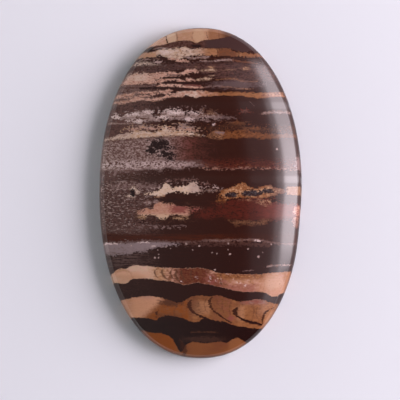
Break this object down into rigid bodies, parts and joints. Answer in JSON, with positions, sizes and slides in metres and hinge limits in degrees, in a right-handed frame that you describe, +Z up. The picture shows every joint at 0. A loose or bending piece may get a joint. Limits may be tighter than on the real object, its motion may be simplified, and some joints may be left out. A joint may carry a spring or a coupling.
{
  "type": "outback jasper cabochon",
  "caption": "Oval cabochon of banded outback jasper: a polished, low-domed one-piece stone with a leaning girdle wall and a flat back that it lies on.",
  "frame": {"origin": "middle of the flat back, which lies on the plane z = 0", "axes": "+Z up out of the flat back through the crown of the dome, +Y along the oval's length towards its paler, finely banded end, +X across its width"},
  "size_m": [0.0306, 0.05, 0.0055],
  "materials": {
    "polished_jasper": "polished banded stone: chocolate, maroon and near-black bands with cream, tan and orange seams, and a glossy top"
  },
  "bodies": {
    "root": {"jasper_cabochon": "polished_jasper"}
  },
  "joints": []
}
